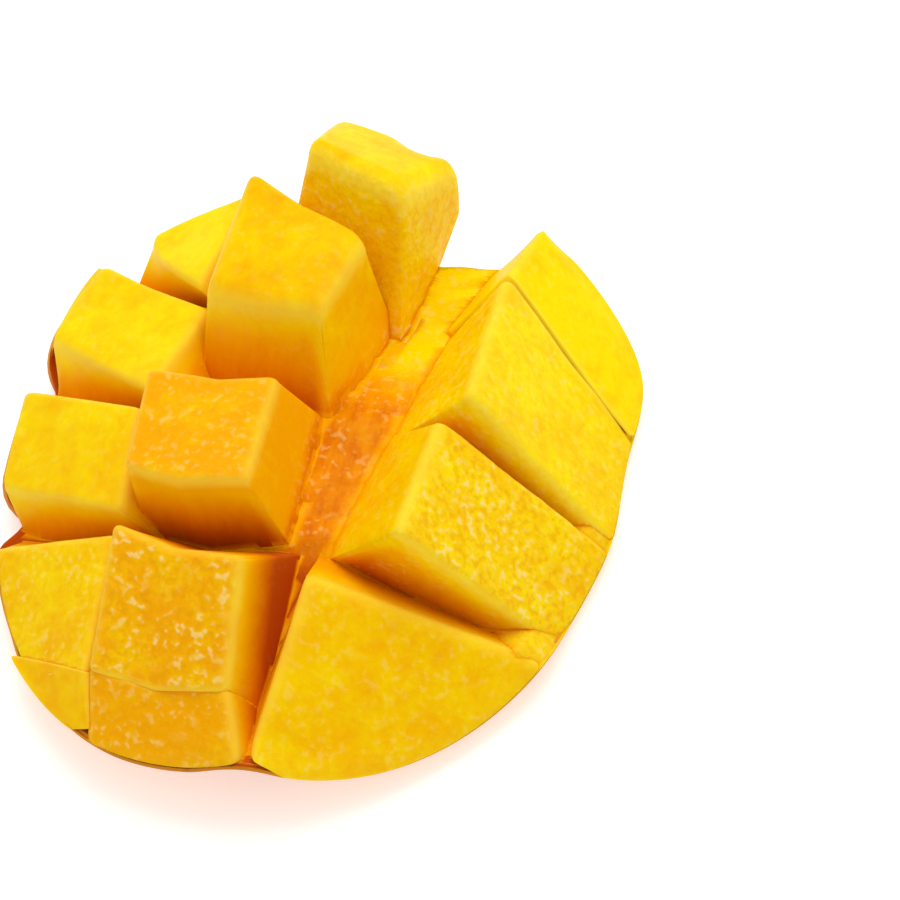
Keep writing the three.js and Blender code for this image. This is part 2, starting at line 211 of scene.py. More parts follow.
def carried(cube, u, v, z):
    """The flat point, swollen outward on the left by its depth, taken from the cube's
    middle, turned by its lean and put on its seat."""
    shallower = 1 - np.clip(-z / SWELL_DEPTH, 0, 1)
    outward = SWELL * (1 - shallower ** 2) * smooth(
        SWELL_RATE * (MIDDLE_U - u) / HALF_WIDTH - SWELL_START)
    flat = np.stack(np.broadcast_arrays(u - outward, v, z), -1)
    return (flat - cube["middle"]) @ cube["spin"].T + np.array(cube["seat"])


def cross_cut(k, u):
    """Where cut k across runs at u: a straight knife stroke swept back to both sides."""
    sweep = np.where(u < SWEEP_MIDDLE, SWEEP_LEFT[k], SWEEP_RIGHT[k])
    return CUTS_ACROSS[k] + sweep * np.abs(u - SWEEP_MIDDLE)


def bent(u, v, z, reach):
    """Each flat point carried by all cubes, each by its share, which eases in over reach
    to both sides of every cut."""
    one = np.ones(np.broadcast(u, v).shape)
    past_along = [one, *(smooth((u - c + reach) / (2 * reach)) for c in CUTS_ALONG), 0 * one]
    past_across = [one, *(smooth((v - cross_cut(k, u) + reach) / (2 * reach))
                          for k in range(len(CUTS_ACROSS))), 0 * one]
    total = 0
    for cube in CUBES:
        c = cube["column"]
        share = (past_along[c] - past_along[c + 1]) * sum(
            past_across[r] - past_across[r + 1] for r in cube["rows"])
        total = total + share[..., None] * carried(cube, u, v, z)
    return total


LEVELLING = turn("Y", LEVEL[1]) @ turn("X", LEVEL[0])


def standing(points):
    """Millimetres of the turned cheek to metres of the frame: levelled, then set down."""
    return (points @ LEVELLING.T + np.array(STAND)) / 1000


# The flesh left under the cuts: a soft uneven sheet about 3 mm thick with the peel below.
# It shows as the rough floor of the grooves, and is one closed surface of two grids.
BASE_THICKNESS = 3.2
# How far to both sides of a cut the flesh and the peel bend
FLESH_BEND = 3.5
PEEL_BEND = 6
# The cuts across stop this far short of the right rim, eased over this much, behind here
UNCUT_RIM = 6.5
UNCUT_EASE = 4
UNCUT_FROM = -34
# The wide part of the middle cut: where it begins, its half width and its soft side. It
# and the uncut rim both begin this softly.
OPEN_FROM = -20
OPEN_HALF_WIDTH = 8
OPEN_SIDE = 3
END_EASE = 6
# Hollows in the back rim: where a cut along runs out, and where the stem was
HOLLOWS = (dict(u=-15, width=9, depth=4.5), dict(u=5, width=10, depth=6))
HOLLOWS_FROM, HOLLOWS_OVER = 0.55, 0.45
FLESH_SCALE = 0.988
FLOOR_GRID = (150, 150)
# The sheet goes this far into the peel, in metres, so that no gap shows
INTO_PEEL = 0.0001
# How deep the floor's colour goes, as millimetres below a top: in the narrow cuts, where it is
# painted shade, in the wide part of the middle one, where it is the floor's own deeper orange,
# and at the back of that, which it nears from here on
NARROW_FLOOR_SHADE = 19
OPEN_FLOOR = 11
OPEN_FLOOR_BACK = 1
PALER_FROM, PALER_OVER = 8, 16
# Its unevenness: the waves' height and closeness along u and v, the height and size of its
# lumps and grains, and the share of all this that the narrow cuts have
FLOOR_WAVE = 0.3
WAVE_RATE = (2.1, 2.3)
FLOOR_LUMPS = (0.4, 3.2)
FLOOR_GRAINS = (0.14, 1.6)
NARROW_SHARE = 0.3
# Near the rim the floor comes up to this depth, or to this share of the dish's depth
BRIM_DEPTH = 0.6
BRIM_SHARE = 0.2
# The floor of the middle cut rises at its back end, and before it a line of painted shade
# marks a crack
BACK_RISE = 3
RISE_FROM, RISE_OVER = 28, 9
CRACK_AT = 4.6
CRACK_FIRST, CRACK_LAST = 17, 35
CRACK_REACH = 2.5
CRACK_EASE = 4
# The sheet looks like the tops where the dish is shallower than this and on the uncut rim,
# which it nears at this rate, and it is this grainy there. Its tone rises towards the back as
# painted light on the shaded back of the middle cut.
RIM_FLESH = 3
UNCUT_FLESH = 1.7
RIM_GRAIN = 0.6
FLOOR_TONE, BACK_PAINTED_LIGHT = 0.6, 1.2
TONE_FROM, TONE_OVER = 16, 10
# The net of random heights, and how far it is shifted to keep every place on it
NET = 256
NET_SHIFT = 100


def unevenness(x, y, seed):
    """Two crossed waves and a slanted one, the slow unevenness of ripe flesh."""
    return (np.sin(x * 0.61 + seed * 1.7) * np.cos(y * 0.53 - seed)
            + 0.6 * np.sin(x * 1.13 - y * 0.97 + seed * 2.3))


def grains(x, y, height, size, seed):
    """Value noise: random heights up and down to that height on a square net of that size,
    eased between."""
    net = np.random.default_rng(seed).uniform(-1, 1, (NET, NET))
    x, y = x / size + NET_SHIFT, y / size + NET_SHIFT
    i, j = np.floor(x).astype(int), np.floor(y).astype(int)
    s, t = smooth(x - i), smooth(y - j)
    i, j = i % (NET - 1), j % (NET - 1)
    return height * lerp(lerp(net[i, j], net[i + 1, j], s),
                         lerp(net[i, j + 1], net[i + 1, j + 1], s), t)


def hollow_at(u):
    """How far the hollows run in from the back rim at u: half an ellipse each."""
    return sum(hollow["depth"] * np.sqrt(np.clip(
        1 - ((u - hollow["u"]) / (hollow["width"] / 2)) ** 2, 0, 1)) for hollow in HOLLOWS)


def sheet_plan(rows, columns, scale=1.0):
    """Plan of the sheet on a grid: rows from tip to tip and columns from rim to rim, both
    closer at the ends, with the hollows dented in at the back."""
    t = -np.cos(np.pi * np.arange(rows + 1) / rows)[:, None]
    s = np.sin(np.pi * (np.arange(columns + 1) / columns - 0.5))[None, :]
    v = MIDDLE_V + np.where(t < 0, t * FRONT_LENGTH, t * BACK_LENGTH)
    left, right = rim_u(v, -1), rim_u(v, 1)
    u = np.where(s < 0, MIDDLE_U + (MIDDLE_U - left) * s, MIDDLE_U + (right - MIDDLE_U) * s)
    v = v + 0 * u
    back = smooth((v - MIDDLE_V - HOLLOWS_FROM * BACK_LENGTH) / (HOLLOWS_OVER * BACK_LENGTH))
    v = v - hollow_at(u) * back
    return MIDDLE_U + (u - MIDDLE_U) * scale, MIDDLE_V + (v - MIDDLE_V) * scale


def outer_face(u, v, scale=1.0, lip=0):
    """The outside of the cheek: the flat dish's depth, bent softly as peel bends."""
    unscaled = MIDDLE_U + (u - MIDDLE_U) / scale, MIDDLE_V + (v - MIDDLE_V) / scale
    return bent(u, v, -np.maximum(flesh_depth(*unscaled) * scale, lip), PEEL_BEND)


def uncut(u, v):
    """From 0 to 1 across the rim at the right, where the cuts across stop short."""
    from_rim = rim_u(v, 1) - u
    return smooth((UNCUT_RIM + UNCUT_EASE / 2 - from_rim) / UNCUT_EASE) * smooth(
        (v - UNCUT_FROM) / END_EASE)


def in_open_cut(u, v):
    """From 0 to 1 into the wide part of the middle cut, away from its front and sides."""
    return smooth((v - OPEN_FROM) / END_EASE) * smooth(
        (OPEN_HALF_WIDTH - np.abs(u - CUTS_ALONG[1])) / OPEN_SIDE)


def open_floor(v):
    """How far the wide cut's floor has reddened, less and less towards the back."""
    return lerp(OPEN_FLOOR, OPEN_FLOOR_BACK, smooth((v - PALER_FROM) / PALER_OVER))


def floor_height(u, v):
    """Height of the groove floor in the flat cheek: the sheet's thickness above the dish's
    depth, rough, rising at the back, and at the right rising to the uncut rim."""
    depth = flesh_depth(u, v)
    rough = FLOOR_WAVE * unevenness(u * WAVE_RATE[0], v * WAVE_RATE[1], 4) + grains(
        u, v, *FLOOR_LUMPS, 5)
    rough = (rough + grains(u, v, *FLOOR_GRAINS, 6)) * lerp(NARROW_SHARE, 1, in_open_cut(u, v))
    brim = -np.minimum(BRIM_DEPTH, BRIM_SHARE * depth)
    rough = rough + BACK_RISE * smooth((v - RISE_FROM) / RISE_OVER) * in_open_cut(u, v)
    return lerp(np.minimum(brim, -depth + BASE_THICKNESS + rough), brim, uncut(u, v))


def flattened(points):
    """No lower than the places where the soft peel rests, as the solid is cut there."""
    return np.stack([points[..., 0], points[..., 1], np.maximum(points[..., 2], 0)], -1)


def closed_mesh(name, grids, values=()):
    """A closed mesh from equal grids of points, top first: the first and the last keep all
    their faces, and those between give only the ring of wall around the edge."""
    rows, columns = grids[0].shape[:2]
    number = np.arange(rows * columns).reshape(rows, columns)
    ring = np.concatenate([number[0, :-1], number[:-1, -1], number[-1, :0:-1], number[:0:-1, 0]])
    a, b = number[:-1, :-1].ravel(), number[:-1, 1:].ravel()
    c, d = number[1:, 1:].ravel(), number[1:, :-1].ravel()
    last = (len(grids) - 1) * number.size
    faces = [np.stack([a, b, c, d], 1), np.stack([a, d, c, b], 1) + last]
    onward = np.roll(ring, -1)
    for g in range(len(grids) - 1):
        near, far = g * number.size, (g + 1) * number.size
        faces.append(np.stack([ring + near, ring + far, onward + far, onward + near], 1))
    faces = np.concatenate(faces)
    points = np.concatenate([grid.reshape(-1, 3) for grid in grids])
    used, packed = np.unique(faces, return_inverse=True)
    mesh = bpy.data.meshes.new(name)
    mesh.from_pydata(points[used], [], packed.reshape(faces.shape).tolist())
    for label, value in values:
        layer = mesh.attributes.new(label, "FLOAT", "POINT")
        layer.data.foreach_set("value", value.ravel()[used].astype(np.float32))
    piece = bpy.data.objects.new(name, mesh)
    bpy.context.scene.collection.objects.link(piece)
    return piece


u, v = sheet_plan(*FLOOR_GRID, FLESH_SCALE)
floor_points = standing(bent(u, v, floor_height(u, v), FLESH_BEND))
under_points = flattened(standing(outer_face(u, v, FLESH_SCALE)) - np.array([0, 0, INTO_PEEL]))
near_top = np.maximum(smooth(1 - flesh_depth(u, v) / RIM_FLESH),
                      smooth(UNCUT_FLESH * uncut(u, v)))
# The floor's colour: painted shade in the narrow cuts, its own deeper orange in the wide one,
# and the tops' colour near the rim
below = lerp(NARROW_FLOOR_SHADE, open_floor(v), in_open_cut(u, v)) * (1 - near_top)
# Where the line of painted shade for the crack runs
cracked = np.clip(1 - np.abs(u - CRACK_AT) / CRACK_REACH, 0, 1) * smooth(
    (v - CRACK_FIRST) / CRACK_EASE) * smooth((CRACK_LAST - v) / CRACK_EASE)
flesh = closed_mesh("mango_flesh", [floor_points, under_points], [
    (label, np.stack([value] * 2)) for label, value in (
        ("below", below), ("edge_highlight", 0 * u), ("grain", RIM_GRAIN * near_top),
        ("rim", near_top), ("torn", in_open_cut(u, v) * (1 - near_top)), ("cracked", cracked),
        ("tone", lerp(FLOOR_TONE, BACK_PAINTED_LIGHT, smooth((v - TONE_FROM) / TONE_OVER))))])

# The cubes: blocks of ripe flesh that keep the flat cut face as their tops and the knife's
# straight walls at their sides. Each is one closed surface whose foot lies in the sheet.
CUBE_WIDTH = 22
EDGE_ROUND = 1.4
SHUT_ROUND = 0.35
# How far the foot spreads past a cut, and to the right at the two front middle cubes
FOOT_SPREAD = 0.04
FRONT_SPREAD = 0.13
FRONT_CUBES = {(1, 0), (1, 1)}
# The cubes reach this share of the way to the rim: at the sides and ends, at the outer
# columns' ends, and at the foot, which is this share of the way up through the sheet
RIM_INSET = 0.985
TIP_INSET = 0.97
FOOT_INSET = 0.96
FOOT_LEVEL = 0.45
# The side that an outer column's plan is first taken to have, before its rim is known
OUTER_SIDE = 30
# How far the corners are drawn in, and how closely that keeps to them
CORNER_PULL = 0.035
CORNER_POWER = 18
# The grid of a cube: close steps along its edges, even ones between, and its wall's levels
EDGE_STEPS = (0, 0.005, 0.012, 0.022, 0.036, 0.058)
INNER_FROM, INNER_TO = 0.09, 0.91
INNER_STEPS = 33
WALL_LEVELS = 12
# The footing is found with this step, and no correction is longer than this
SMALL_STEP = 0.05
LONGEST_MOVE = 3
# Relief and lift fade out where the dish is this shallow, over this much more depth
INLAND_FROM, INLAND_OVER = 3, 6
# Height and size of the swells on every top, and of the lumps and grains on the torn ones
TOP_SWELLS = (0.3, 9)
TOP_LUMPS = (0.14, 1.5)
TOP_GRAINS = (0.07, 0.8)
# Tops that tore into wet grains under the knife, by column and row, and how strongly
GRAINY = {(1, 1): 1.0, (1, 2): 0.45, (2, 2): 1.0, (0, 1): 0.45, (2, 3): 0.3, (1, 0): 0.6,
          (2, 1): 0.25}
PLAIN_GRAIN = 0.12
# Edges at cuts that stay nearly shut: front edges and back edges, by column and row
SHUT_FRONT = {(1, 1), (0, 1), (2, 4)}
SHUT_BACK = {(1, 0), (0, 0), (2, 3)}
# The two back middle cubes are rounded off like thumbs, the last with a dent at its back
SOFT_ROUND = {(1, 3): 2.6, (1, 4): 3.2}
DENT = dict(cube=(1, 4), s=0.7, t=1.0, width=3.4, depth=2.6)
# How fast painted shade darkens and reddens the walls on the way down, by column and row
# where it isn't the usual way
PAINTED_SHADE_RATE = {(1, 4): 0.1, (0, 3): 1.05, (0, 4): 0.8, (1, 0): 2.4, (1, 1): 1.9, (1, 2): 1.0,
          (1, 3): 0.95}
# The same for the walls at the wide middle cut, which get less painted shade than those at
# the narrow cuts: at the cubes to its left and at those to its right
OPEN_CUT_SHADE = {1: 0.2, 2: 0.03}
OPEN_ROW = 2
OPEN_EDGE = 2.5
# Away from the cuts, at the rim, a wall has this share of the painted shade from this far on
RIM_WALL_SHADE = 0.3
RIM_WALL_FROM = 2
# How far up a wall of the wide cut its floor's colour reaches, by column, and how softly
FLOOR_REACH = (5.5, 5.5, 3.5)
FLOOR_REACH_EASE = 3
# Walls that tore into grains as well
TORN_WALLS = {(1, 4): 0.5, (2, 3): 0.35, (2, 2): 0.2}
PLAIN_WALL = 0.05
# How wide the painted highlight along an edge is, how far from it the top begins, and how
# deep the rim's tint is
EDGE_HIGHLIGHT_WIDTH = 0.8
CROWN_FROM = 1.2
RIM_TINT = 9
# How yellow a top is: at the front, more with each row as painted shade that lifts from the
# front tops, which lean away from the lamp, less in the middle column, and less again on one
# cube
FRONT_TONE = 0.3
ROW_PAINTED_LIGHT = 0.16
MIDDLE_TONE = 0.3
DEEP_TOP = (1, 2)


def inside_sheet(u, v):
    """A point in the sheet, a share FOOT_LEVEL of the way from its peel to its flesh."""
    depth = flesh_depth(u, v)
    inner = bent(u, v, np.minimum(-BRIM_SHARE * depth, -depth + BASE_THICKNESS), FLESH_BEND)
    return lerp(outer_face(u, v), inner, FOOT_LEVEL)


def footing(points, u, v):
    """The point in the sheet straight below each point, found in six rounds: each moves by
    the distance still to go over the sheet's slope along u and v."""
    for _ in range(6):
        here = inside_sheet(u, v)
        du = (inside_sheet(u + SMALL_STEP, v) - here) / SMALL_STEP
        dv = (inside_sheet(u, v + SMALL_STEP) - here) / SMALL_STEP
        away = points - here
        area = du[..., 0] * dv[..., 1] - du[..., 1] * dv[..., 0]
        move_u = (away[..., 0] * dv[..., 1] - away[..., 1] * dv[..., 0]) / area
        move_v = (away[..., 1] * du[..., 0] - away[..., 0] * du[..., 1]) / area
        u = u + np.clip(move_u, -LONGEST_MOVE, LONGEST_MOVE)
        v = v + np.clip(move_v, -LONGEST_MOVE, LONGEST_MOVE)
        v = np.clip(v, lerp(MIDDLE_V, rim_v(u, -1), FOOT_INSET),
                    lerp(MIDDLE_V, rim_v(u, 1), FOOT_INSET) - hollow_at(u))
        u = np.clip(u, lerp(MIDDLE_U, rim_u(v, -1), FOOT_INSET),
                    lerp(MIDDLE_U, rim_u(v, 1), FOOT_INSET))
    return inside_sheet(u, v)


def cube_plan(cube, s, t, trimmed=1):
    """Plan of a cube: s from its left to its right wall and t from front to back, between
    the cuts moved by the trim of its corners, or up to just inside the rim."""
    column, first, last = cube["column"], cube["rows"][0], cube["rows"][-1]
    left_front, left_back, right_front, right_back = np.array(cube["trim"]) * trimmed
    inner = CUTS_ALONG[0] if column == 0 else CUTS_ALONG[1]
    lefts = (-OUTER_SIDE, CUTS_ALONG[0] + lerp(left_front[0], left_back[0], t), inner)
    rights = (inner, CUTS_ALONG[1] + lerp(right_front[0], right_back[0], t), OUTER_SIDE)
    across = lerp(lefts[column], rights[column], s)
    inset = RIM_INSET if column == 1 else TIP_INSET
    rim_at = across if column == 1 else np.full_like(s, inner)
    front = (lerp(MIDDLE_V, rim_v(rim_at, -1), inset) if first == 0
             else cross_cut(first - 1, across) + lerp(left_front[1], right_front[1], s))
    back = (lerp(MIDDLE_V, rim_v(rim_at, 1), inset) if last == 4
            else cross_cut(last, across) + lerp(left_back[1], right_back[1], s))
    v = lerp(front, back, t)
    left = (lerp(MIDDLE_U, rim_u(v, -1, not trimmed), RIM_INSET) if column == 0
            else CUTS_ALONG[column - 1])
    right = lerp(MIDDLE_U, rim_u(v, 1), RIM_INSET) if column == 2 else CUTS_ALONG[column]
    return lerp(left + lerp(left_front[0], left_back[0], t),
                right + lerp(right_front[0], right_back[0], t), s), v


def edge_drop(distance, radius):
    """A quarter circle of that radius down over the cube's edge."""
    x = np.clip(1 - distance / radius, 0, 1)
    return radius * (1 - np.sqrt(1 - x * x))


def top_drop(key, to_cut, s, t):
    """How far the top drops: by the quarter circles over the nearer side edge and over the
    nearer end edge, and on one cube also by a dent, a bell around its middle."""
    around = SOFT_ROUND.get(key, EDGE_ROUND)
    radii = [around, around, SHUT_ROUND if key in SHUT_FRONT else around,
             SHUT_ROUND if key in SHUT_BACK else around]
    drops = [edge_drop(distance, radius) for distance, radius in zip(to_cut, radii)]
    drop = np.maximum(drops[0], drops[1]) + np.maximum(drops[2], drops[3])
    if key == DENT["cube"]:
        away = np.hypot(s - DENT["s"], t - DENT["t"]) * CUBE_WIDTH
        drop = drop + DENT["depth"] * np.exp(-(away / DENT["width"]) ** 2)
    return drop


def cube_piece(cube, number):
    """A cube: its plan at the height of the flat cut face, raised by corner, uneven and
    rounded over at the cuts, with straight walls down to its foot in the sheet."""
    edge = np.array(EDGE_STEPS)
    inner = np.linspace(INNER_FROM, INNER_TO, INNER_STEPS)
    steps = np.concatenate([edge, inner, 1 - edge[::-1]])
    s, t = np.meshgrid(steps, steps)
    bend_s, bend_t = 2 * s - 1, 2 * t - 1
    corner = CORNER_PULL * np.abs(bend_s * bend_t) ** CORNER_POWER
    plan_s, plan_t = 0.5 + 0.5 * bend_s * (1 - corner), 0.5 + 0.5 * bend_t * (1 - corner)
    u, v = cube_plan(cube, plan_s, plan_t)
    depth = flesh_depth(u, v)
    key = (cube["column"], cube["rows"][-1])
    at_cut = [key[0] > 0, key[0] < 2, cube["rows"][0] > 0, key[1] < 4]
    to_cut = [np.where(is_cut, share * CUBE_WIDTH, CUBE_WIDTH)
              for is_cut, share in zip(at_cut, (s, 1 - s, t, 1 - t))]
    nearest = np.minimum.reduce(to_cut)
    drop = top_drop(key, to_cut, s, t)
    lift = cube["lift"]
    raised = lerp(lerp(lift[0], lift[2], s), lerp(lift[1], lift[3], s), t)
    grainy = GRAINY.get(key, PLAIN_GRAIN)
    relief = grains(u, v, *TOP_SWELLS, number + 80) + grainy * (
        grains(u, v, *TOP_LUMPS, number) + grains(u, v, *TOP_GRAINS, number + 40))
    inland = smooth((depth - INLAND_FROM) / INLAND_OVER)
    top = standing(carried(cube, u, v, (raised + relief) * inland - drop))
    spread = [FOOT_SPREAD * is_cut for is_cut in at_cut]
    if key in FRONT_CUBES:
        spread[1] = FRONT_SPREAD
    foot_s, foot_t = lerp(-spread[0], 1 + spread[1], s), lerp(-spread[2], 1 + spread[3], t)
    u, v = cube_plan(cube, foot_s, foot_t, trimmed=0)
    foot = standing(footing(carried(cube, u, v, BASE_THICKNESS - flesh_depth(u, v)), u, v))
    beside_open = 1 - s if key[0] == 1 else s
    opened = 0 * s if key[0] == 0 or key[1] < OPEN_ROW else 1 - smooth(
        beside_open * CUBE_WIDTH / OPEN_EDGE)
    down = np.linspace(0, 1, WALL_LEVELS + 1)[1:-1]
    levels = [top, *(lerp(top, foot, w) for w in down), foot]
    shares = np.concatenate([[0], down, [1]])[:, None, None]
    length = np.linalg.norm(top - foot, axis=-1) * 1000
    below = shares * length
    crown = np.where(shares > 0, 0, smooth(nearest / CROWN_FROM))
    # A painted highlight along the top edges, fading down the walls and in over the tops
    edge_highlight = np.exp(-(np.where(shares > 0, below, nearest) / EDGE_HIGHLIGHT_WIDTH) ** 2)
    # Painted shade: each wall darkens and reddens with its depth below the top, most in the
    # narrow cuts
    painted_shade_and_floor_colour = below * PAINTED_SHADE_RATE.get(key, 1) * lerp(1, OPEN_CUT_SHADE.get(key[0], 1), opened) * lerp(
        1, RIM_WALL_SHADE, smooth(nearest / RIM_WALL_FROM))
    at_foot = smooth((below + FLOOR_REACH[key[0]] - length) / FLOOR_REACH_EASE) * opened
    # Partly painted shade: the front rows get a deeper yellow, lifting row by row
    tone = FRONT_TONE + ROW_PAINTED_LIGHT * key[1] - MIDDLE_TONE * (key[0] == 1) - MIDDLE_TONE * (
        key == DEEP_TOP)
    return closed_mesh(f"mango_cube_{number}", levels, [
        (label, np.broadcast_to(value, below.shape)) for label, value in (
            ("below", lerp(painted_shade_and_floor_colour, np.maximum(painted_shade_and_floor_colour, open_floor(v)), at_foot)),
            ("edge_highlight", edge_highlight), ("torn", at_foot),
            ("grain", lerp(TORN_WALLS.get(key, PLAIN_WALL), grainy, crown)),
            ("rim", smooth(1 - depth / RIM_TINT) * crown), ("cracked", 0), ("tone", tone))])


SHARP_ANGLE = 46

for number in reversed(range(len(CUBES))):
    block = cube_piece(CUBES[number], number)
    union = flesh.modifiers.new(block.name, "BOOLEAN")
    union.operation = "UNION"
    union.solver = "MANIFOLD"
    union.object = block
joined = bpy.data.meshes.new_from_object(
    flesh.evaluated_get(bpy.context.evaluated_depsgraph_get()))
joined.validate()
flesh.modifiers.clear()
flesh.data = joined
for piece in [o for o in bpy.data.objects if o.name.startswith("mango_cube_")]:
    bpy.data.objects.remove(piece)
joined.shade_smooth()
joined.set_sharp_from_angle(angle=math.radians(SHARP_ANGLE))

# Ripe flesh: moist and translucent, so light sinks in and comes back deeper yellow. The
# tops are bright yellow, deeper along the middle, and at the front tip deeper with painted
# shade. The cut walls carry painted shade, from golden yellow to burnt orange further down,
# and the tops that tore have painted glints on their wet grains.
FLESH_ROUGHNESS = 0.36
LIGHT_REACH_MM = 2
SPECK_MM = 1.3
TORN_PATCH_MM = 6
FIBRE_MM = 0.7
STREAK_MM = 1.8
MOTTLE_MM = 3
CLOUD_MM = 9


def colour(code):
    """The linear colour of an sRGB hex value, with alpha 1."""
    parts = [int(code[k:k + 2], 16) / 255 for k in (1, 3, 5)]
    return (*[c / 12.92 if c <= 0.04045 else ((c + 0.055) / 1.055) ** 2.4 for c in parts], 1)


def add(tree, kind, inputs=None, out=0, **settings):
    """Adds a shader node with its settings and gives one output of it; an input is a value
    or a socket to link."""
    made = tree.nodes.new("ShaderNode" + kind)
    for key, value in settings.items():
        setattr(made, key, value)
    for key, value in (inputs or {}).items():
        if isinstance(value, bpy.types.NodeSocket):
            tree.links.new(value, made.inputs[key])
        else:
            made.inputs[key].default_value = value
    return made.outputs[out] if made.outputs else None


def new_material(name):
    """A material with only its output, and that material's node tree."""
    material = bpy.data.materials.new(name)
    material.use_nodes = True
    material.node_tree.nodes.clear()
    return material, material.node_tree


ripe_flesh, tree = new_material("ripe_mango_flesh")
place = add(tree, "TexCoord", out="Object")
below, edge_highlight, grain, torn, rim, tone, cracked = (
    add(tree, "Attribute", out="Fac", attribute_name=label)
    for label in ("below", "edge_highlight", "grain", "torn", "rim", "tone", "cracked"))
# The tops: clouds and mottling say how ripe, and so how bright, a place is; each cube's tone
# adds its own depth of colour and painted light that rises row by row and towards the back
# of the middle cut's floor
clouds = add(tree, "TexNoise", {"Vector": place, "Scale": 1000 / CLOUD_MM, "Detail": 2.0})
mottle = add(tree, "TexNoise", {"Vector": place, "Scale": 1000 / MOTTLE_MM, "Detail": 3.0,
                                "Roughness": 0.6, "Distortion": 0.4})
cloudy = add(tree, "Math", {0: clouds, 1: 1.1, 2: tone}, operation="MULTIPLY_ADD")
varied = add(tree, "Math", {0: mottle, 1: 0.9, 2: cloudy}, operation="MULTIPLY_ADD")
ripeness_and_painted_light = add(tree, "Math", {0: varied, 1: 1.0}, operation="SUBTRACT", use_clamp=True)
tops = add(tree, "Mix", {0: ripeness_and_painted_light, 6: colour("#F8AC00"), 7: colour("#FFE000")}, out=2,
           data_type="RGBA")
# The walls: the depth below the top, made uneven in streaks that run down, gives the
# colour: painted shade, darker and redder further down the walls and in the narrow cuts
stretched = add(tree, "Mapping", {"Vector": place, "Scale": (1, 0.4, 0.25)})
streaks = add(tree, "TexNoise", {"Vector": stretched, "Scale": 1000 / STREAK_MM, "Detail": 3.0,
                                 "Roughness": 0.6})
uneven = add(tree, "MapRange", {"Value": streaks, "From Min": 0.3, "From Max": 0.7,
                                "To Min": -1.0, "To Max": 1.0})
down = add(tree, "MapRange", {"Value": below, "From Max": 5.0},
           interpolation_type="SMOOTHSTEP")
unevenly = add(tree, "Math", {0: uneven, 1: add(tree, "Math", {
    0: torn, 1: 1.8, 2: 1.1}, operation="MULTIPLY_ADD")}, operation="MULTIPLY")
painted_shade_and_floor_colour = add(tree, "Math", {0: unevenly, 1: down, 2: below}, operation="MULTIPLY_ADD")
shade_and_floor_ramp = add(tree, "ValToRGB", {"Fac": add(tree, "MapRange", {
    "Value": painted_shade_and_floor_colour, "From Max": 18.0})})
stops = shade_and_floor_ramp.node.color_ramp.elements
stops[0].color = colour("#FCC800")
stops[1].color = colour("#C4560F")
for at, code in ((0.25, "#F9AE00"), (0.55, "#EC9200"), (0.78, "#DC7404")):
    stops.new(at).color = colour(code)
base = add(tree, "Mix", {0: down, 6: tops, 7: shade_and_floor_ramp}, out=2, data_type="RGBA")
# Towards the rim the tops are paler
paler = add(tree, "Math", {0: rim, 1: 0.3}, operation="MULTIPLY")
base = add(tree, "Mix", {0: paler, 6: base, 7: colour("#F4C628")}, out=2, data_type="RGBA")
# Where the flesh tore: painted shade in the hollows of its grain, and in patches painted
# glints on its raised wet grains
wetness = add(tree, "TexNoise", {"Vector": place, "Scale": 1000 / SPECK_MM, "Detail": 1.0,
                                 "Distortion": 0.15})
painted_pit_shade = add(tree, "MapRange", {"Value": wetness, "From Min": 0.46, "From Max": 0.34},
           interpolation_type="SMOOTHSTEP")
painted_pit_shade = add(tree, "Math", {0: painted_pit_shade, 1: add(tree, "Math", {0: grain, 1: 0.4},
                                         operation="MULTIPLY")}, operation="MULTIPLY")
# Painted shade in the hollows of the grain
base = add(tree, "Mix", {0: painted_pit_shade, 6: base, 7: colour("#EE9C04")}, out=2, data_type="RGBA")
patches = add(tree, "TexNoise", {"Vector": place, "Scale": 1000 / TORN_PATCH_MM, "Detail": 1.0})
patched = add(tree, "MapRange", {"Value": patches, "From Min": 0.36, "From Max": 0.6,
                                 "To Min": 0.15}, interpolation_type="SMOOTHSTEP")
lumps = add(tree, "MapRange", {"Value": wetness, "From Min": 0.54, "From Max": 0.68},
            interpolation_type="SMOOTHSTEP")
pale = add(tree, "Math", {0: torn, 1: 0.5, 2: grain}, operation="MULTIPLY_ADD")
pale = add(tree, "Math", {0: pale, 1: patched}, operation="MULTIPLY")
painted_glints = add(tree, "Math", {0: lumps, 1: add(tree, "Math", {0: pale, 1: 0.6},
                                            operation="MULTIPLY")}, operation="MULTIPLY")
# Painted glints: pale spots on the raised wet grains
base = add(tree, "Mix", {0: painted_glints, 6: base, 7: colour("#FFE08C")}, out=2, data_type="RGBA")
# A line of painted shade for a crack in the floor of the middle cut, and a painted highlight
# along the edges of the cubes
painted_crack_shade = add(tree, "MapRange", {"Value": cracked, "From Min": 0.76, "From Max": 0.94,
                               "To Max": 0.6}, interpolation_type="SMOOTHSTEP")
base = add(tree, "Mix", {0: painted_crack_shade, 6: base, 7: colour("#D8620A")}, out=2, data_type="RGBA")
# Painted highlight: a pale yellow line along the cubes' edges
edges = add(tree, "Math", {0: edge_highlight, 1: 0.42}, operation="MULTIPLY")
base = add(tree, "Mix", {0: edges, 6: base, 7: colour("#FFE24C")}, out=2, data_type="RGBA")
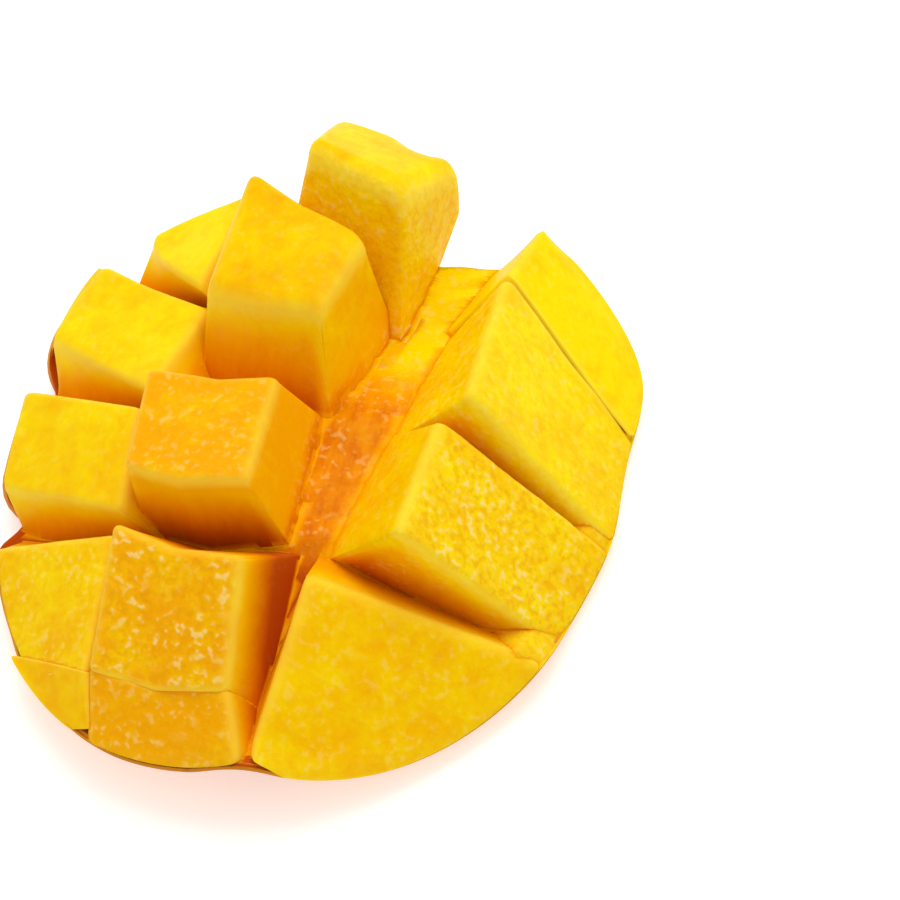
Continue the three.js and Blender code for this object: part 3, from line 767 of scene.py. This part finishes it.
# Fine fibres roughen the flesh, the torn grains stand up on it, and juice coats them thinly
fibres = add(tree, "TexNoise", {"Vector": place, "Scale": 1000 / FIBRE_MM, "Detail": 3.0,
                                "Roughness": 0.6})
roughness = add(tree, "MapRange", {"Value": fibres, "To Min": FLESH_ROUGHNESS - 0.1,
                                   "To Max": FLESH_ROUGHNESS + 0.12})
fine = add(tree, "Bump", {"Height": fibres, "Strength": 0.2, "Distance": 0.00015})
bumpy = add(tree, "Math", {0: torn, 1: 0.5, 2: grain}, operation="MULTIPLY_ADD",
            use_clamp=True)
raised = add(tree, "Math", {0: wetness, 1: bumpy}, operation="MULTIPLY")
coarse = add(tree, "Bump", {"Height": raised, "Strength": 0.5, "Distance": 0.0008,
                            "Normal": fine})
wet = add(tree, "Math", {0: grain, 1: 0.1, 2: 0.01}, operation="MULTIPLY_ADD")
surface = add(tree, "BsdfPrincipled", {
    "Base Color": base, "Roughness": roughness, "IOR": 1.36, "Specular IOR Level": 0.05,
    "Normal": coarse, "Subsurface Weight": 0.2, "Subsurface Radius": (1.0, 0.5, 0.1),
    "Subsurface Scale": LIGHT_REACH_MM / 1000,
    "Coat Weight": wet, "Coat Roughness": 0.14, "Coat IOR": 1.33})
add(tree, "OutputMaterial", {"Surface": surface})
joined.materials.clear()
joined.materials.append(ripe_flesh)
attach(flesh, "root")
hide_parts("mango_cheek")

# The peel: the thin waxy skin of the cheek, bent with the flesh and cut off square at the
# rim. It is one closed shell, its outside the dish's and its inside a little smaller.
PEEL_INNER_SCALE = 0.979
PEEL_GRID = (190, 130)
PEEL_LIP = 0.8
PEEL_SHARP_ANGLE = 50
# The rim's colour fades out between this depth and this much more
RIM_BAND, RIM_FADE = 2, 8

u, v = sheet_plan(*PEEL_GRID)
inner_u, inner_v = sheet_plan(*PEEL_GRID, PEEL_INNER_SCALE)
peel_outer = flattened(standing(outer_face(u, v, 1, PEEL_LIP)))
peel_inner = standing(outer_face(inner_u, inner_v, PEEL_INNER_SCALE, PEEL_LIP))
at_rim = smooth(1 - (flesh_depth(u, v) - RIM_BAND) / RIM_FADE)
peel = closed_mesh("mango_peel", [peel_inner, peel_outer], [("rim", np.stack([at_rim] * 2))])
peel.data.shade_smooth()
peel.data.set_sharp_from_angle(angle=math.radians(PEEL_SHARP_ANGLE))

# Mango peel: a thin waxy skin, yellow orange with a red blush and pale pores. The wax
# gives it a soft even sheen.
PEEL_ROUGHNESS = 0.38
PORE_SPACING_MM = 2.6
BLUSH_MM = 38
STIPPLE_MM = 4
DIMPLE_MM = 1.6

waxy_peel, tree = new_material("waxy_mango_peel")
place = add(tree, "TexCoord", out="Object")
blushing = add(tree, "TexNoise", {"Vector": place, "Scale": 1000 / BLUSH_MM, "Detail": 2.0})
blush = add(tree, "MapRange", {"Value": blushing, "From Min": 0.42, "From Max": 0.68},
            interpolation_type="SMOOTHSTEP")
skin = add(tree, "Mix", {0: blush, 6: colour("#DE7A10"), 7: colour("#A82A1A")}, out=2,
           data_type="RGBA")
rim = add(tree, "Attribute", out="Fac", attribute_name="rim")
skin = add(tree, "Mix", {0: rim, 6: skin, 7: colour("#E59A12")}, out=2, data_type="RGBA")
mottling = add(tree, "TexNoise", {"Vector": place, "Scale": 1000 / STIPPLE_MM, "Detail": 3.0,
                                  "Roughness": 0.6})
mottled = add(tree, "Math", {0: mottling, 1: 0.2}, operation="MULTIPLY")
skin = add(tree, "Mix", {0: mottled, 6: skin, 7: colour("#EDB040")}, out=2, data_type="RGBA")
cells = add(tree, "TexVoronoi", {"Vector": place, "Scale": 1000 / PORE_SPACING_MM})
dots = add(tree, "MapRange", {"Value": cells, "From Min": 0.16, "From Max": 0.08,
                              "To Max": 0.6}, interpolation_type="SMOOTHSTEP")
skin = add(tree, "Mix", {0: dots, 6: skin, 7: colour("#F3CF86")}, out=2, data_type="RGBA")
dimples = add(tree, "TexNoise", {"Vector": place, "Scale": 1000 / DIMPLE_MM, "Detail": 2.0})
normal = add(tree, "Bump", {"Height": dimples, "Strength": 0.15, "Distance": 0.0002})
surface = add(tree, "BsdfPrincipled", {
    "Base Color": skin, "Roughness": PEEL_ROUGHNESS, "IOR": 1.45, "Specular IOR Level": 0.2,
    "Normal": normal, "Coat Weight": 0.08, "Coat Roughness": 0.25})
add(tree, "OutputMaterial", {"Surface": surface})
peel.data.materials.append(waxy_peel)
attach(peel, "root")

# The table and the studio: a light table of white glass under one broad soft lamp, in even
# white light from all round. The camera looks down at the front of the cheek from a little
# to its right.
CAMERA_AZIMUTH = 18.5
CAMERA_ELEVATION = 57.12
CAMERA_DISTANCE = 650
CAMERA_ASIDE = 22.04
CAMERA_ABOVE = 8.54
LENS = 167.46
SENSOR = 36
TABLE_REACH = 15
TABLE_LEVEL = -0.0001
TABLE_GLOW = 0.4
ROOM_LIGHT = 0.68
LAMP_SIZE = 0.5
LAMP_WATTS = 2.2
LAMP_PLACE = (-0.02, 0.28, 0.62)

a, e = math.radians(CAMERA_AZIMUTH), math.radians(CAMERA_ELEVATION)
ahead = np.array([-math.sin(a) * math.cos(e), math.cos(a) * math.cos(e), -math.sin(e)])
aside = np.array([math.cos(a), math.sin(a), 0])
above = np.cross(aside, ahead)
eye = -ahead * CAMERA_DISTANCE + aside * CAMERA_ASIDE + above * CAMERA_ABOVE
camera = bpy.data.objects.new("camera", bpy.data.cameras.new("camera"))
axes = np.stack([aside, above, -ahead], 1)
camera.matrix_world = Matrix.Translation(Vector(standing(eye))) @ Matrix(
    (LEVELLING @ axes).tolist()).to_4x4()
camera.data.lens = LENS
camera.data.sensor_width = SENSOR
bpy.context.scene.collection.objects.link(camera)
bpy.context.scene.camera = camera

table_mesh = bpy.data.meshes.new("table")
table_mesh.from_pydata([(x * TABLE_REACH, y * TABLE_REACH, TABLE_LEVEL)
                        for x, y in ((-1, -1), (1, -1), (1, 1), (-1, 1))], [], [(0, 1, 2, 3)])
table = bpy.data.objects.new("table", table_mesh)
bpy.context.scene.collection.objects.link(table)
white_glass, tree = new_material("white_glass_of_the_light_table")
glass = add(tree, "BsdfPrincipled", {
    "Base Color": colour("#F4F3F1"), "Roughness": 0.7, "Specular IOR Level": 0.1,
    "Emission Color": (1, 1, 1, 1), "Emission Strength": TABLE_GLOW})
add(tree, "OutputMaterial", {"Surface": glass})
table_mesh.materials.append(white_glass)

world = bpy.data.worlds.new("studio")
world.use_nodes = True
world.node_tree.nodes["Background"].inputs["Color"].default_value = (1, 1, 1, 1)
world.node_tree.nodes["Background"].inputs["Strength"].default_value = ROOM_LIGHT
bpy.context.scene.world = world
lamp = bpy.data.objects.new("lamp", bpy.data.lights.new("lamp", "AREA"))
lamp.data.size = LAMP_SIZE
lamp.data.energy = LAMP_WATTS
lamp.location = LAMP_PLACE
lamp.rotation_euler = (-lamp.location).to_track_quat("-Z", "Y").to_euler()
bpy.context.scene.collection.objects.link(lamp)

bpy.context.scene.view_settings.view_transform = "Standard"
